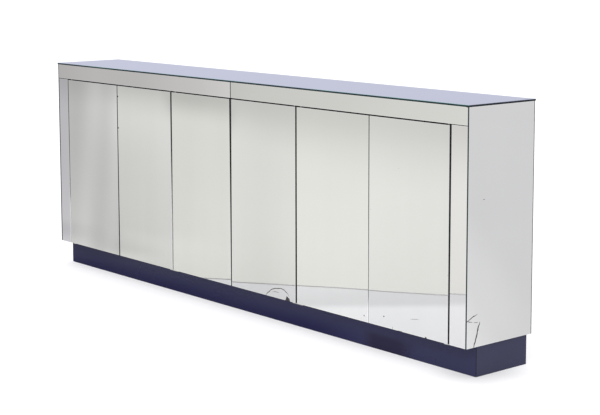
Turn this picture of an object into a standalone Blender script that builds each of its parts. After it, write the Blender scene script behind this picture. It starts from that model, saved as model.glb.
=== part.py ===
"""Mirror-clad side cabinet: a plywood case on a recessed plinth, its outside covered
in silvered glass, with six handleless doors in three pairs. Each door turns on a pin
above and a pin below, and opens at a push on a spring plunger. Metres, +Z up, the
front towards -Y, the origin on the floor under the middle of the cabinet."""

import math

import bmesh
import bpy
from mathutils import Matrix, Vector

# Overall sizes, over the mirrors
CABINET_WIDTH = 2.438
CABINET_DEPTH = 0.313
CASE_HEIGHT = 0.784
PLINTH_HEIGHT = 0.102

# Glass
TOP_GLASS_THICKNESS = 0.006
TOP_GLASS_OVERHANG = 0.0015
MIRROR_THICKNESS = 0.005
MIRROR_ARRIS = 0.0006
HEADER_SEAM = 0.0008

# Boards
BOARD_THICKNESS = 0.018
FACE_BOARD_THICKNESS = 0.016
BACK_PANEL_THICKNESS = 0.006
JOINT_DEPTH = 0.006
BOARD_ARRIS = 0.0008

# The front
HEADER_HEIGHT = 0.060
STILE_WIDTH = 0.077
COMPARTMENTS = 3
DOOR_TOP_GAP = 0.004
DOOR_LIFT = 0.001
MEETING_GAP = 0.004

# Shelves
SHELF_ABOVE_FLOOR = 0.330
SHELF_SETBACK = 0.030

# Plinth
PLINTH_FRONT_SETBACK = 0.052
PLINTH_BACK_SETBACK = 0.017
PLINTH_BOARD_THICKNESS = 0.018
PLINTH_ARRIS = 0.0012

# Pivot hinges
PIVOT_FROM_DOOR_EDGE = 0.014
PIVOT_FROM_BOARD_FACE = 0.005
PIN_RADIUS = 0.002
PIN_LENGTH = 0.014
COLLAR_RADIUS = 0.003
PLATE_THICKNESS = 0.0022
PLATE_CORNER_RADIUS = 0.003
PLATE_RIM = 0.0005
PLATE_EDGE_MARGIN = 0.0035
UPPER_PLATE_REACH = 0.036
UPPER_PLATE_HEEL = 0.007
LOWER_PLATE_HALF_WIDTH = 0.011
PLATE_TO_PLINTH = 0.004
SCREW_RADIUS = 0.0018
SCREW_HEAD_RADIUS = 0.0035
SCREW_HEAD_DEPTH = 0.0018
SCREW_HEAD_MARGIN = 0.001
SCREW_FROM_PLATE_END = 0.0065
SCREW_PITCH = 0.013

# Push latches
LATCH_WIDTH = 0.058
LATCH_BODY_HEIGHT = 0.024
LATCH_BODY_LENGTH = 0.040
LATCH_WALL = 0.002
LATCH_FLANGE_HEIGHT = 0.028
LATCH_ABOVE_DOOR = 0.002
LATCH_ARRIS = 0.0005
LATCH_RIB_THICKNESS = 0.002
LATCH_RIB_REACH = 0.018
LATCH_RIB_HEIGHT = 0.020
LATCH_SLOT_LENGTH = 0.008
LATCH_SLOT_FROM_TOP = 0.008
LATCH_SLOT_FROM_END = 0.010
PLUNGER_SPACING = 0.036
PLUNGER_RADIUS = 0.004
PLUNGER_TIP_RADIUS = 0.0055
PLUNGER_TIP_LENGTH = 0.003
PLUNGER_TRAVEL = 0.003
PLUNGER_GRIP = 0.022
PLUNGER_ARRIS = 0.0005
STRIKE_RADIUS = 0.009
STRIKE_THICKNESS = 0.0015

# Clearances
SEAT_GAP = 0.0003
RUNNING_CLEARANCE = 0.001
BORE_CLEARANCE = 0.0003
PLUNGER_CLEARANCE = 0.0003

# Facets of round work, and how modelling tools reach and merge
ROUND_SIDES = 16
CORNER_STEPS = 4
ROUND_SHADING_ANGLE = math.radians(40)
CUTTER_OVERRUN = 0.002
MERGE_DISTANCE = 1e-5

# Planes across the depth, from the front
FRONT_Y = -CABINET_DEPTH / 2
BACK_Y = CABINET_DEPTH / 2
MIRROR_BACK_Y = FRONT_Y + MIRROR_THICKNESS
FACE_BOARD_Y = MIRROR_BACK_Y + SEAT_GAP
FACE_BOARD_BACK_Y = FACE_BOARD_Y + FACE_BOARD_THICKNESS
PIVOT_Y = FACE_BOARD_Y + PIVOT_FROM_BOARD_FACE
PANEL_BACK_Y = BACK_Y - BACK_PANEL_THICKNESS
PLINTH_FRONT_Y = FRONT_Y + PLINTH_FRONT_SETBACK
PLINTH_BACK_Y = BACK_Y - PLINTH_BACK_SETBACK

# The corners of a door that swing past its edges as it turns on its pins
FRONT_CORNER_SWING = math.hypot(PIVOT_FROM_DOOR_EDGE, PIVOT_Y - FRONT_Y) - PIVOT_FROM_DOOR_EDGE
HEEL_DEPTH = FACE_BOARD_BACK_Y - PIVOT_Y
HEEL_SWING = math.hypot(PIVOT_FROM_DOOR_EDGE, HEEL_DEPTH) - HEEL_DEPTH
STILE_GAP = FRONT_CORNER_SWING + RUNNING_CLEARANCE
HINGE_GAP = 2 * FRONT_CORNER_SWING + RUNNING_CLEARANCE
CASE_FRONT_Y = FACE_BOARD_BACK_Y + HEEL_SWING + RUNNING_CLEARANCE

# Levels
CASE_Z = PLINTH_HEIGHT
TOP_Z = PLINTH_HEIGHT + CASE_HEIGHT
TOP_GLASS_Z = TOP_Z - TOP_GLASS_THICKNESS
WOOD_TOP_Z = TOP_GLASS_Z - SEAT_GAP
HEADER_Z = TOP_GLASS_Z - HEADER_HEIGHT
TOP_DECK_Z = WOOD_TOP_Z - BOARD_THICKNESS
DOOR_TOP_Z = HEADER_Z - DOOR_TOP_GAP
DOOR_Z = CASE_Z + DOOR_LIFT
FLOOR_Z = CASE_Z + BOARD_THICKNESS
SHELF_TOP_Z = FLOOR_Z + SHELF_ABOVE_FLOOR

# Widths, from the middle outwards
OUTER_X = CABINET_WIDTH / 2
CASE_X = OUTER_X - MIRROR_THICKNESS - SEAT_GAP
SIDE_INNER_X = CASE_X - BOARD_THICKNESS
OPENING_X = OUTER_X - STILE_WIDTH
DOORS = 2 * COMPARTMENTS
GAPS_ACROSS = 2 * STILE_GAP + (COMPARTMENTS - 1) * HINGE_GAP + COMPARTMENTS * MEETING_GAP
DOOR_WIDTH = (2 * OPENING_X - GAPS_ACROSS) / DOORS
PAIR_PITCH = 2 * DOOR_WIDTH + MEETING_GAP + HINGE_GAP

# Colour, roughness and metallic value of each material
FINISHES = {
    "mirror": ((0.84, 0.85, 0.86), 0.04, 1.0),
    "top_mirror": ((0.74, 0.77, 0.85), 0.04, 1.0),
    "plywood": ((0.33, 0.22, 0.13), 0.55, 0.0),
    "laminate": ((0.035, 0.034, 0.085), 0.28, 0.0),
    "steel": ((0.55, 0.55, 0.56), 0.35, 1.0),
    "latch_plastic": ((0.12, 0.075, 0.05), 0.45, 0.0),
}


def clear_scene():
    for item in list(bpy.data.objects):
        bpy.data.objects.remove(item, do_unlink=True)


def new_collection(name, in_render):
    collection = bpy.data.collections.new(name)
    collection.hide_render = not in_render
    bpy.context.scene.collection.children.link(collection)
    return collection


def new_materials():
    made = {}
    for name, (colour, roughness, metallic) in FINISHES.items():
        material = bpy.data.materials.new(name)
        material.use_nodes = True
        shader = material.node_tree.nodes["Principled BSDF"]
        shader.inputs["Base Color"].default_value = (*colour, 1.0)
        shader.inputs["Roughness"].default_value = roughness
        shader.inputs["Metallic"].default_value = metallic
        made[name] = material
    return made


clear_scene()
PARTS = new_collection("side_cabinet", True)
CUTTERS = new_collection("cutters", False)
MATERIALS = new_materials()


def as_part(name, mesh, material, place):
    part = bpy.data.objects.new(name, mesh)
    PARTS.objects.link(part)
    mesh.materials.clear()
    mesh.materials.append(MATERIALS[material])
    part.matrix_world = place
    return part


def as_cutter(mesh, place):
    cutter = bpy.data.objects.new("cutter", mesh)
    CUTTERS.objects.link(cutter)
    cutter.hide_render = True
    cutter.display_type = "WIRE"
    cutter.matrix_world = place
    return cutter


def box_mesh(size):
    mesh = bpy.data.meshes.new("box")
    work = bmesh.new()
    bmesh.ops.create_cube(work, size=1.0)
    bmesh.ops.scale(work, vec=size, verts=work.verts)
    work.to_mesh(mesh)
    work.free()
    return mesh


def between(low, high):
    """The middle and the size of the box from one corner to the other."""
    low, high = Vector(low), Vector(high)
    return (low + high) / 2, high - low


def ease_edges(part, width):
    ease = part.modifiers.new("arris", "BEVEL")
    ease.width = width
    ease.segments = 1


def board(name, low, high, material, arris):
    """A flat board or pane with its edges eased."""
    middle, size = between(low, high)
    part = as_part(name, box_mesh(size), material, Matrix.Translation(middle))
    ease_edges(part, arris)
    return part


def cut_box(part, low, high):
    middle, size = between(low, high)
    cut(part, as_cutter(box_mesh(size), Matrix.Translation(middle)))


def round_mesh(radius, length):
    """A round bar along Z, from 0 to its length."""
    mesh = bpy.data.meshes.new("round")
    work = bmesh.new()
    bmesh.ops.create_cone(
        work,
        cap_ends=True,
        segments=ROUND_SIDES,
        radius1=radius,
        radius2=radius,
        depth=length,
    )
    bmesh.ops.translate(work, vec=(0, 0, length / 2), verts=work.verts)
    work.to_mesh(mesh)
    work.free()
    mesh.shade_smooth()
    mesh.set_sharp_from_angle(angle=ROUND_SHADING_ANGLE)
    return mesh


def along(direction):
    """The turn that lays +Z along a direction."""
    return Vector(direction).to_track_quat("Z", "Y").to_matrix().to_4x4()


def bore(part, mouth, direction, radius, depth):
    """A blind round hole. It starts a little outside its mouth, to cut clean."""
    direction = Vector(direction)
    start = Vector(mouth) - direction * CUTTER_OVERRUN
    place = Matrix.Translation(start) @ along(direction)
    cut(part, as_cutter(round_mesh(radius, depth + CUTTER_OVERRUN), place))


def cut(part, cutter):
    change = part.modifiers.new("cut", "BOOLEAN")
    change.operation = "DIFFERENCE"
    change.object = cutter


def join(part, mesh, place):
    change = part.modifiers.new("join", "BOOLEAN")
    change.operation = "UNION"
    change.object = as_cutter(mesh, place)


def profile_mesh(profile):
    """Half of a turned shape, as (radius, Z) from the top of its axis to the foot of it."""
    mesh = bpy.data.meshes.new("profile")
    points = [(radius, 0, z) for radius, z in profile]
    mesh.from_pydata(points, [(i, i + 1) for i in range(len(points) - 1)], [])
    return mesh


def turn(part):
    """Turns a profile round its Z axis."""
    spin = part.modifiers.new("turn", "SCREW")
    spin.axis = "Z"
    spin.angle = math.tau
    spin.steps = ROUND_SIDES
    spin.render_steps = ROUND_SIDES
    spin.use_merge_vertices = True
    spin.merge_threshold = MERGE_DISTANCE


def outline_mesh(outline, thickness):
    """A flat outline in XY given its thickness, half to each side."""
    curve = bpy.data.curves.new("outline", "CURVE")
    curve.dimensions = "2D"
    curve.fill_mode = "BOTH"
    curve.extrude = thickness / 2
    spline = curve.splines.new("POLY")
    spline.points.add(len(outline) - 1)
    for point, (x, y) in zip(spline.points, outline):
        point.co = (x, y, 0, 1)
    spline.use_cyclic_u = True
    drawn = bpy.data.objects.new("outline", curve)
    PARTS.objects.link(drawn)
    graph = bpy.context.evaluated_depsgraph_get()
    mesh = bpy.data.meshes.new_from_object(drawn.evaluated_get(graph))
    bpy.data.objects.remove(drawn, do_unlink=True)
    work = bmesh.new()
    work.from_mesh(mesh)
    bmesh.ops.remove_doubles(work, verts=work.verts, dist=MERGE_DISTANCE)
    bmesh.ops.recalc_face_normals(work, faces=work.faces)
    work.to_mesh(mesh)
    work.free()
    mesh.shade_flat()
    return mesh


def section_along_x(middle_x):
    """Stands an outline drawn in (Y, Z) upright, with its thickness along X about a place."""
    return Matrix(((0, 0, 1, middle_x), (1, 0, 0, 0), (0, 1, 0, 0), (0, 0, 0, 1)))


def rounded_rectangle(low_x, high_x, low_y, high_y, radius):
    outline = []
    corners = (
        (high_x - radius, high_y - radius, 0),
        (low_x + radius, high_y - radius, 1),
        (low_x + radius, low_y + radius, 2),
        (high_x - radius, low_y + radius, 3),
    )
    for middle_x, middle_y, quarter in corners:
        for step in range(CORNER_STEPS + 1):
            angle = (quarter + step / CORNER_STEPS) * math.pi / 2
            outline.append((middle_x + radius * math.cos(angle), middle_y + radius * math.sin(angle)))
    return outline


def span(side, inner_x, outer_x):
    """Low and high X of a stretch on the left (-1) or right (1) of the middle."""
    return tuple(sorted((side * inner_x, side * outer_x)))


def side_word(side):
    return "left" if side < 0 else "right"


def hinge_line_x(index):
    """The middle of hinge gap 1, 2 ..., between one pair of doors and the next."""
    return -OPENING_X + STILE_GAP + index * PAIR_PITCH - HINGE_GAP / 2


def pair_middle_x(pair):
    return -OPENING_X + STILE_GAP + pair * PAIR_PITCH + DOOR_WIDTH + MEETING_GAP / 2


# Case


def add_side_panel(side):
    """An end of the case, rebated for the decks and the back, grooved for the shelf."""
    inner, outer = SIDE_INNER_X, CASE_X
    low_x, high_x = span(side, inner, outer)
    low = (low_x, FACE_BOARD_BACK_Y + SEAT_GAP, CASE_Z)
    high = (high_x, BACK_Y, WOOD_TOP_Z)
    panel = board(f"{side_word(side)}_side_panel", low, high, "plywood", BOARD_ARRIS)
    groove_low, groove_high = span(side, inner - CUTTER_OVERRUN, inner + JOINT_DEPTH)
    past_front = low[1] - CUTTER_OVERRUN
    past_back = BACK_Y + CUTTER_OVERRUN
    deck_tops = ((CASE_Z - CUTTER_OVERRUN, FLOOR_Z), (TOP_DECK_Z, WOOD_TOP_Z + CUTTER_OVERRUN))
    for low_z, high_z in deck_tops:
        cut_box(panel, (groove_low, past_front, low_z), (groove_high, past_back, high_z))
    cut_box(
        panel,
        (groove_low, shelf_front_y(), SHELF_TOP_Z - BOARD_THICKNESS),
        (groove_high, past_back, SHELF_TOP_Z),
    )
    cut_box(
        panel,
        (groove_low, PANEL_BACK_Y, CASE_Z - CUTTER_OVERRUN),
        (groove_high, past_back, WOOD_TOP_Z + CUTTER_OVERRUN),
    )


def shelf_front_y():
    return CASE_FRONT_Y + SHELF_SETBACK


def add_deck(name, low_z, front_y, groove_side):
    """The floor or the top of the case, let into both sides and grooved for the partitions."""
    reach = SIDE_INNER_X + JOINT_DEPTH - SEAT_GAP
    high_z = low_z + BOARD_THICKNESS - SEAT_GAP
    rear_y = PANEL_BACK_Y - SEAT_GAP
    deck = board(name, (-reach, front_y, low_z), (reach, rear_y, high_z), "plywood", BOARD_ARRIS)
    face_z = high_z if groove_side > 0 else low_z
    groove_z = sorted((face_z + groove_side * CUTTER_OVERRUN, face_z - groove_side * JOINT_DEPTH))
    for index in range(1, COMPARTMENTS):
        middle_x = hinge_line_x(index)
        cut_box(
            deck,
            (middle_x - BOARD_THICKNESS / 2, CASE_FRONT_Y - CUTTER_OVERRUN, groove_z[0]),
            (middle_x + BOARD_THICKNESS / 2, rear_y + CUTTER_OVERRUN, groove_z[1]),
        )


def add_partition(index):
    """An upright between two compartments, grooved on both faces for the shelves."""
    middle_x = hinge_line_x(index)
    half = BOARD_THICKNESS / 2 - SEAT_GAP
    low = (middle_x - half, CASE_FRONT_Y, FLOOR_Z - JOINT_DEPTH)
    high = (middle_x + half, PANEL_BACK_Y - SEAT_GAP, TOP_DECK_Z + JOINT_DEPTH - SEAT_GAP)
    upright = board(f"partition_{index}", low, high, "plywood", BOARD_ARRIS)
    for side in (-1, 1):
        outer = middle_x + side * (half + CUTTER_OVERRUN)
        inner = middle_x + side * (half - JOINT_DEPTH)
        cut_box(
            upright,
            (min(inner, outer), shelf_front_y(), SHELF_TOP_Z - BOARD_THICKNESS),
            (max(inner, outer), BACK_Y, SHELF_TOP_Z),
        )


def compartment_walls(pair):
    """X of the two uprights' faces that bound a compartment."""
    half = BOARD_THICKNESS / 2 - SEAT_GAP
    low = -SIDE_INNER_X if pair == 0 else hinge_line_x(pair) + half
    high = SIDE_INNER_X if pair == COMPARTMENTS - 1 else hinge_line_x(pair + 1) - half
    return low, high


def add_shelf(pair):
    low_x, high_x = compartment_walls(pair)
    reach = JOINT_DEPTH - SEAT_GAP
    low = (low_x - reach, shelf_front_y() + SEAT_GAP, SHELF_TOP_Z - BOARD_THICKNESS + SEAT_GAP)
    high = (high_x + reach, PANEL_BACK_Y - SEAT_GAP, SHELF_TOP_Z - SEAT_GAP)
    board(f"shelf_{pair + 1}", low, high, "plywood", BOARD_ARRIS)


def add_back_panel():
    reach = SIDE_INNER_X + JOINT_DEPTH - SEAT_GAP
    low = (-reach, PANEL_BACK_Y + SEAT_GAP, CASE_Z)
    high = (reach, BACK_Y, WOOD_TOP_Z)
    board("back_panel", low, high, "plywood", BOARD_ARRIS)


def add_stile_board(side):
    low_x, high_x = span(side, OPENING_X, CASE_X)
    low = (low_x, FACE_BOARD_Y, CASE_Z)
    high = (high_x, FACE_BOARD_BACK_Y, HEADER_Z - SEAT_GAP)
    board(f"{side_word(side)}_stile_board", low, high, "plywood", BOARD_ARRIS)


def add_header_rail():
    """The rail over the doors, mortised from below for the upper pivot plates."""
    low = (-CASE_X, FACE_BOARD_Y, HEADER_Z)
    high = (CASE_X, FACE_BOARD_BACK_Y, WOOD_TOP_Z)
    rail = board("header_rail", low, high, "plywood", BOARD_ARRIS)
    for middle_x, pins, ways in plate_places():
        outline = upper_plate_outline(pins, ways)
        xs = [middle_x + x for x, y in outline]
        ys = [PIVOT_Y + y for x, y in outline]
        cut_box(
            rail,
            (min(xs) - SEAT_GAP, min(ys) - SEAT_GAP, HEADER_Z - CUTTER_OVERRUN),
            (max(xs) + SEAT_GAP, max(ys) + SEAT_GAP, HEADER_Z + PLATE_THICKNESS + SEAT_GAP),
        )


# Plinth


def add_plinth():
    """Four boards mitred at the corners, flush with the wooden case at both ends."""
    top_z = PLINTH_HEIGHT - SEAT_GAP
    outer = (CASE_X, (PLINTH_BACK_Y - PLINTH_FRONT_Y) / 2)
    inner = (outer[0] - PLINTH_BOARD_THICKNESS, outer[1] - PLINTH_BOARD_THICKNESS)
    middle = Vector((0, (PLINTH_BACK_Y + PLINTH_FRONT_Y) / 2, top_z / 2))
    mitre = SEAT_GAP / math.sqrt(2)
    for turn, word in enumerate(("front", "right", "back", "left")):
        at_an_end = word in ("right", "left")
        long_half, far = reversed(outer) if at_an_end else outer
        short_half, near = reversed(inner) if at_an_end else inner
        outline = (
            (-long_half + mitre, -far),
            (long_half - mitre, -far),
            (short_half - mitre, -near),
            (-short_half + mitre, -near),
        )
        place = Matrix.Translation(middle) @ Matrix.Rotation(turn * math.pi / 2, 4, "Z")
        piece = as_part(f"plinth_{word}", outline_mesh(outline, top_z), "laminate", place)
        ease_edges(piece, PLINTH_ARRIS)


# Fixed mirrors


def add_top_mirror():
    reach_x = OUTER_X + TOP_GLASS_OVERHANG
    reach_y = CABINET_DEPTH / 2 + TOP_GLASS_OVERHANG
    low = (-reach_x, -reach_y, TOP_GLASS_Z)
    high = (reach_x, reach_y, TOP_Z)
    board("top_mirror", low, high, "top_mirror", MIRROR_ARRIS)


def add_side_mirrors(side):
    """The pane on an end, whose front edge shows, and the strips beside it on the front."""
    word = side_word(side)
    low_x, high_x = span(side, CASE_X + SEAT_GAP, OUTER_X)
    low = (low_x, FRONT_Y, CASE_Z)
    high = (high_x, BACK_Y, WOOD_TOP_Z)
    board(f"{word}_end_mirror", low, high, "mirror", MIRROR_ARRIS)
    low_x, high_x = span(side, OPENING_X, CASE_X)
    low = (low_x, FRONT_Y, CASE_Z)
    high = (high_x, MIRROR_BACK_Y, HEADER_Z - SEAT_GAP)
    board(f"{word}_stile_mirror", low, high, "mirror", MIRROR_ARRIS)
    low_x, high_x = span(side, HEADER_SEAM / 2, CASE_X)
    low = (low_x, FRONT_Y, HEADER_Z)
    high = (high_x, MIRROR_BACK_Y, WOOD_TOP_Z)
    board(f"{word}_header_mirror", low, high, "mirror", MIRROR_ARRIS)


# Doors


def door_edges(index):
    """Low X, high X and pin X of door 0, 1 ... from the left. Even doors hang on the left."""
    pair, second = divmod(index, 2)
    low_x = -OPENING_X + STILE_GAP + pair * PAIR_PITCH + second * (DOOR_WIDTH + MEETING_GAP)
    high_x = low_x + DOOR_WIDTH
    pin_x = high_x - PIVOT_FROM_DOOR_EDGE if second else low_x + PIVOT_FROM_DOOR_EDGE
    return low_x, high_x, pin_x


def strike_x(index):
    pair, second = divmod(index, 2)
    return pair_middle_x(pair) + (PLUNGER_SPACING / 2 if second else -PLUNGER_SPACING / 2)


def add_door(index):
    """A board faced with a mirror, bored for its two pins, with a steel strike let in behind."""
    low_x, high_x, pin_x = door_edges(index)
    axis = bpy.data.objects.new(f"door_{index + 1}_axis", None)
    PARTS.objects.link(axis)
    axis.location = (pin_x, PIVOT_Y, 0)
    name = f"door_{index + 1}"
    core = board(
        f"{name}_core",
        (low_x, FACE_BOARD_Y, DOOR_Z),
        (high_x, FACE_BOARD_BACK_Y, DOOR_TOP_Z),
        "plywood",
        BOARD_ARRIS,
    )
    radius = PIN_RADIUS + BORE_CLEARANCE
    depth = PIN_LENGTH + RUNNING_CLEARANCE
    bore(core, (pin_x, PIVOT_Y, DOOR_Z), (0, 0, 1), radius, depth)
    bore(core, (pin_x, PIVOT_Y, DOOR_TOP_Z), (0, 0, -1), radius, depth)
    seat = (strike_x(index), FACE_BOARD_BACK_Y, plunger_z())
    bore(core, seat, (0, -1, 0), STRIKE_RADIUS + BORE_CLEARANCE, STRIKE_THICKNESS + SEAT_GAP)
    pane = board(
        f"{name}_mirror",
        (low_x, FRONT_Y, DOOR_Z),
        (high_x, MIRROR_BACK_Y, DOOR_TOP_Z),
        "mirror",
        MIRROR_ARRIS,
    )
    place = Matrix.Translation(seat) @ along((0, -1, 0))
    strike = as_part(f"{name}_strike", round_mesh(STRIKE_RADIUS, STRIKE_THICKNESS), "steel", place)
    for piece in (core, pane, strike):
        piece.parent = axis
        piece.matrix_parent_inverse = Matrix.Translation(axis.location).inverted()


# Pivot plates


def plate_places():
    """Each pivot plate: its middle X, its pins' X from there, and the ways (-1 left, 1 right)
    in which the doors that it carries lie."""
    places = [(door_edges(0)[2], (0.0,), (1,))]
    for index in range(1, COMPARTMENTS):
        middle_x = hinge_line_x(index)
        pins = tuple(door_edges(door)[2] - middle_x for door in (2 * index - 1, 2 * index))
        places.append((middle_x, pins, (-1, 1)))
    places.append((door_edges(DOORS - 1)[2], (0.0,), (-1,)))
    return places


def upper_plate_depths():
    """How far an upper plate reaches in front of its pins and behind them."""
    return COLLAR_RADIUS + PLATE_RIM, FACE_BOARD_BACK_Y - PIVOT_Y - PLATE_EDGE_MARGIN


def upper_plate_outline(pins, ways):
    """The upper plates lie along the header rail, long towards the doors that they carry."""
    front, depth = upper_plate_depths()
    low = min(pins) - (UPPER_PLATE_REACH if -1 in ways else UPPER_PLATE_HEEL)
    high = max(pins) + (UPPER_PLATE_REACH if 1 in ways else UPPER_PLATE_HEEL)
    return rounded_rectangle(low, high, -front, depth, PLATE_CORNER_RADIUS)


def add_pins(plate, pins, way, collar_height):
    """Pins that rise (1) or hang (-1) from a plate, each on a collar that the door bears on.
    They start inside the plate, to join it."""
    turn = Matrix.Rotation(0 if way > 0 else math.pi, 4, "X")
    shoulder = PLATE_THICKNESS / 2 + collar_height
    for pin_x in pins:
        foot = plate.matrix_world @ Matrix.Translation((pin_x, 0, 0)) @ turn
        join(plate, round_mesh(COLLAR_RADIUS, shoulder), foot)
        join(plate, round_mesh(PIN_RADIUS, shoulder + SEAT_GAP + PIN_LENGTH), foot)


def countersink(plate, x, y):
    """A screw hole through a plate, its wide mouth on the underside."""
    slope = (SCREW_HEAD_RADIUS - SCREW_RADIUS) / SCREW_HEAD_DEPTH
    past_top = PLATE_THICKNESS + CUTTER_OVERRUN
    profile = (
        (0, past_top),
        (SCREW_RADIUS, past_top),
        (SCREW_RADIUS, SCREW_HEAD_DEPTH),
        (SCREW_HEAD_RADIUS + slope * CUTTER_OVERRUN, -CUTTER_OVERRUN),
        (0, -CUTTER_OVERRUN),
    )
    place = plate.matrix_world @ Matrix.Translation((x, y, -PLATE_THICKNESS / 2))
    cutter = as_cutter(profile_mesh(profile), place)
    turn(cutter)
    cut(plate, cutter)


def add_upper_plates():
    """The upper plates are let into the underside of the header rail, with their pins down."""
    front, depth = upper_plate_depths()
    screw_y = (depth - front) / 2
    for number, (middle_x, pins, ways) in enumerate(plate_places(), 1):
        outline = upper_plate_outline(pins, ways)
        place = Matrix.Translation((middle_x, PIVOT_Y, HEADER_Z + PLATE_THICKNESS / 2))
        mesh = outline_mesh(outline, PLATE_THICKNESS)
        plate = as_part(f"upper_pivot_plate_{number}", mesh, "steel", place)
        add_pins(plate, pins, -1, DOOR_TOP_GAP - SEAT_GAP)
        for way in ways:
            end = max(way * x for x, y in outline)
            for from_end in (SCREW_FROM_PLATE_END, SCREW_FROM_PLATE_END + SCREW_PITCH):
                countersink(plate, way * (end - from_end), screw_y)


def add_lower_plates():
    """The lower plates lie under the floor of the case, in front of the plinth, pins up."""
    depth = PLINTH_FRONT_Y - PLATE_TO_PLINTH - PIVOT_Y
    screw_x = LOWER_PLATE_HALF_WIDTH - SCREW_HEAD_RADIUS - SCREW_HEAD_MARGIN
    screw_y = (CASE_FRONT_Y - PIVOT_Y + depth) / 2
    for number, (middle_x, pins, _) in enumerate(plate_places(), 1):
        low = min(pins) - LOWER_PLATE_HALF_WIDTH
        high = max(pins) + LOWER_PLATE_HALF_WIDTH
        outline = rounded_rectangle(low, high, -PIVOT_FROM_BOARD_FACE, depth, PLATE_CORNER_RADIUS)
        place = Matrix.Translation((middle_x, PIVOT_Y, CASE_Z - SEAT_GAP - PLATE_THICKNESS / 2))
        mesh = outline_mesh(outline, PLATE_THICKNESS)
        plate = as_part(f"lower_pivot_plate_{number}", mesh, "steel", place)
        add_pins(plate, pins, 1, DOOR_LIFT)
        for pin_x in pins:
            countersink(plate, pin_x - screw_x, screw_y)
            countersink(plate, pin_x + screw_x, screw_y)


# Push latches


def plunger_z():
    return DOOR_TOP_Z - LATCH_BODY_HEIGHT / 2


def latch_front_y():
    """The housing stands back from the door by the plunger's tip and its travel."""
    return FACE_BOARD_BACK_Y + SEAT_GAP + PLUNGER_TIP_LENGTH + PLUNGER_TRAVEL + 2 * RUNNING_CLEARANCE


def add_latch(pair):
    """A moulded housing behind the header rail: a block bored for two plungers, hung by a web
    from a flange that has upright slots for its screws and ribs behind it."""
    middle_x = pair_middle_x(pair)
    flange_y = FACE_BOARD_BACK_Y + SEAT_GAP
    flange_back = flange_y + LATCH_WALL
    body_front = latch_front_y()
    body_back = body_front + LATCH_BODY_LENGTH
    body_low = DOOR_TOP_Z - LATCH_BODY_HEIGHT
    web_z = DOOR_TOP_Z + LATCH_ABOVE_DOOR
    web_top = web_z + LATCH_WALL
    flange_top = web_z + LATCH_FLANGE_HEIGHT
    section = (
        (flange_y, flange_top),
        (flange_y, web_z),
        (body_front, web_z),
        (body_front, body_low),
        (body_back, body_low),
        (body_back, web_top),
        (flange_back, web_top),
        (flange_back, flange_top),
    )
    mesh = outline_mesh(section, LATCH_WIDTH)
    housing = as_part(f"latch_{pair + 1}_housing", mesh, "latch_plastic", section_along_x(middle_x))
    ease_edges(housing, LATCH_ARRIS)
    root = LATCH_WALL / 2
    rib = (
        (flange_back - root, web_top - root),
        (flange_back + LATCH_RIB_REACH, web_top - root),
        (flange_back + LATCH_RIB_REACH, web_top),
        (flange_back, web_top + LATCH_RIB_HEIGHT),
        (flange_back - root, web_top + LATCH_RIB_HEIGHT),
    )
    outer_rib = LATCH_WIDTH / 2 - LATCH_RIB_THICKNESS
    for rib_x in (-outer_rib, 0, outer_rib):
        join(housing, outline_mesh(rib, LATCH_RIB_THICKNESS), section_along_x(middle_x + rib_x))
    for door in (2 * pair, 2 * pair + 1):
        mouth = (strike_x(door), body_front, plunger_z())
        depth = PLUNGER_GRIP + PLUNGER_TRAVEL + RUNNING_CLEARANCE
        bore(housing, mouth, (0, 1, 0), PLUNGER_RADIUS + PLUNGER_CLEARANCE, depth)
    half_slot = LATCH_SLOT_LENGTH / 2
    slot = rounded_rectangle(-SCREW_RADIUS, SCREW_RADIUS, -half_slot, half_slot, SCREW_RADIUS)
    slot_z = flange_top - LATCH_SLOT_FROM_TOP
    for side in (-1, 1):
        slot_x = middle_x + side * (LATCH_WIDTH / 2 - LATCH_SLOT_FROM_END)
        place = Matrix.Translation((slot_x, flange_y, slot_z)) @ Matrix.Rotation(math.pi / 2, 4, "X")
        cut(housing, as_cutter(outline_mesh(slot, 2 * (LATCH_WALL + CUTTER_OVERRUN)), place))


def add_plunger(index):
    """A turned plunger, its wide tip towards the door's strike."""
    tip_y = FACE_BOARD_BACK_Y + SEAT_GAP
    tip_z = PLUNGER_TIP_LENGTH
    end_z = latch_front_y() - tip_y + PLUNGER_GRIP
    profile = (
        (0, end_z),
        (PLUNGER_RADIUS - PLUNGER_ARRIS, end_z),
        (PLUNGER_RADIUS, end_z - PLUNGER_ARRIS),
        (PLUNGER_RADIUS, tip_z),
        (PLUNGER_TIP_RADIUS, tip_z),
        (PLUNGER_TIP_RADIUS, PLUNGER_ARRIS),
        (PLUNGER_TIP_RADIUS - PLUNGER_ARRIS, 0),
        (0, 0),
    )
    place = Matrix.Translation((strike_x(index), tip_y, plunger_z())) @ along((0, 1, 0))
    turn(as_part(f"plunger_{index + 1}", profile_mesh(profile), "latch_plastic", place))


def main():
    for side in (-1, 1):
        add_side_panel(side)
        add_stile_board(side)
        add_side_mirrors(side)
    add_deck("bottom_deck", CASE_Z, CASE_FRONT_Y, 1)
    add_deck("top_deck", TOP_DECK_Z + SEAT_GAP, FACE_BOARD_BACK_Y + SEAT_GAP, -1)
    for index in range(1, COMPARTMENTS):
        add_partition(index)
    for pair in range(COMPARTMENTS):
        add_shelf(pair)
        add_latch(pair)
    add_back_panel()
    add_header_rail()
    add_plinth()
    add_top_mirror()
    for index in range(DOORS):
        add_door(index)
        add_plunger(index)
    add_upper_plates()
    add_lower_plates()


main()
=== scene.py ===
import math
import random

import bmesh
import bpy
from mathutils import Matrix, Vector


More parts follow.
